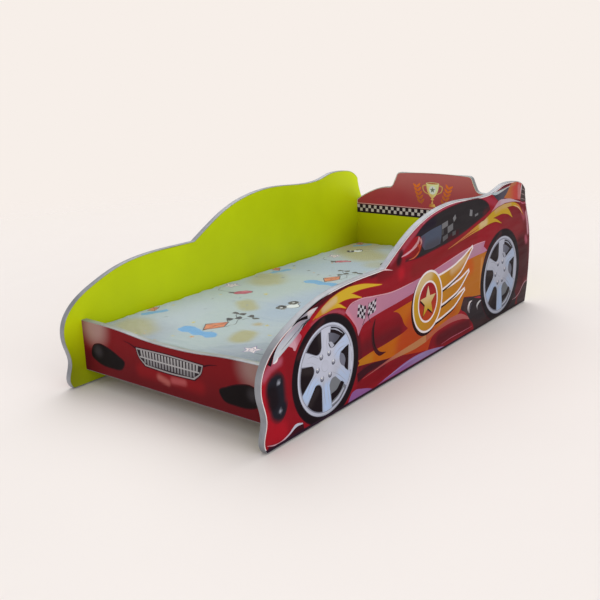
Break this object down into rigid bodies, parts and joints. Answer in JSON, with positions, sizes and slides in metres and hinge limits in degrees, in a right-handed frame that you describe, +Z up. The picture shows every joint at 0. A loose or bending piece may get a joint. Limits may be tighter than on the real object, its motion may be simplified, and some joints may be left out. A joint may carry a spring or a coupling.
{
  "type": "toddler bed",
  "caption": "Car-shaped toddler bed: printed side boards with a racing-car outline, stepped headboard, low dipped footboard, lift-out slatted base and cot mattress in a fitted sheet.",
  "frame": {"origin": "centre of the bed's length and width, on the floor", "axes": "+X to the right side board, seen from the foot end, +Y from the footboard (the car's nose) to the headboard (its tail), +Z up"},
  "size_m": [0.742, 1.5714, 0.4784],
  "materials": {
    "lime_laminate": "satin",
    "silver_edging": "satin",
    "printed_film": "gloss",
    "softwood_rail": "matte",
    "pine_slat": "matte",
    "webbing": "matte",
    "zinc_plated_steel": "satin",
    "die_cast_zinc": "satin",
    "cap_plastic": "satin",
    "beech": "matte",
    "glide_plastic": "satin",
    "foam": "matte",
    "mattress_fabric": "matte",
    "sheet_cotton": "matte",
    "elastic": "matte"
  },
  "bodies": {
    "bed_frame": {"side_panel_right": "lime_laminate", "side_edging_right": "silver_edging", "side_print_right": "printed_film", "side_panel_left": "lime_laminate", "side_edging_left": "silver_edging", "side_print_left": "printed_film", "headboard_panel": "lime_laminate", "headboard_edging": "silver_edging", "headboard_print": "printed_film", "footboard_panel": "lime_laminate", "footboard_edging": "silver_edging", "footboard_print": "printed_film", "slat_rail_right": "softwood_rail", "slat_rail_left": "softwood_rail", "rail_screws": "zinc_plated_steel", "cam_locks": "die_cast_zinc", "cam_bolts": "zinc_plated_steel", "cam_caps": "cap_plastic", "dowels": "beech", "floor_glides": "glide_plastic", "glide_nails": "zinc_plated_steel"},
    "slatted_base": {"slat_01": "pine_slat", "slat_02": "pine_slat", "slat_03": "pine_slat", "slat_04": "pine_slat", "slat_05": "pine_slat", "slat_06": "pine_slat", "slat_07": "pine_slat", "slat_08": "pine_slat", "slat_09": "pine_slat", "slat_10": "pine_slat", "slat_11": "pine_slat", "slat_12": "pine_slat", "slat_webbing_right": "webbing", "slat_webbing_left": "webbing", "slat_staples": "zinc_plated_steel"},
    "mattress": {"mattress_core": "foam", "mattress_cover": "mattress_fabric", "fitted_sheet": "sheet_cotton", "sheet_elastic": "elastic"}
  },
  "joints": [
    {"name": "base_lift", "type": "slide", "parent": "bed_frame", "child": "slatted_base", "axis": [0, 0, 1], "range_m": [0, 0.42]},
    {"name": "mattress_lift", "type": "slide", "parent": "slatted_base", "child": "mattress", "axis": [0, 0, 1], "range_m": [0, 0.42]}
  ]
}
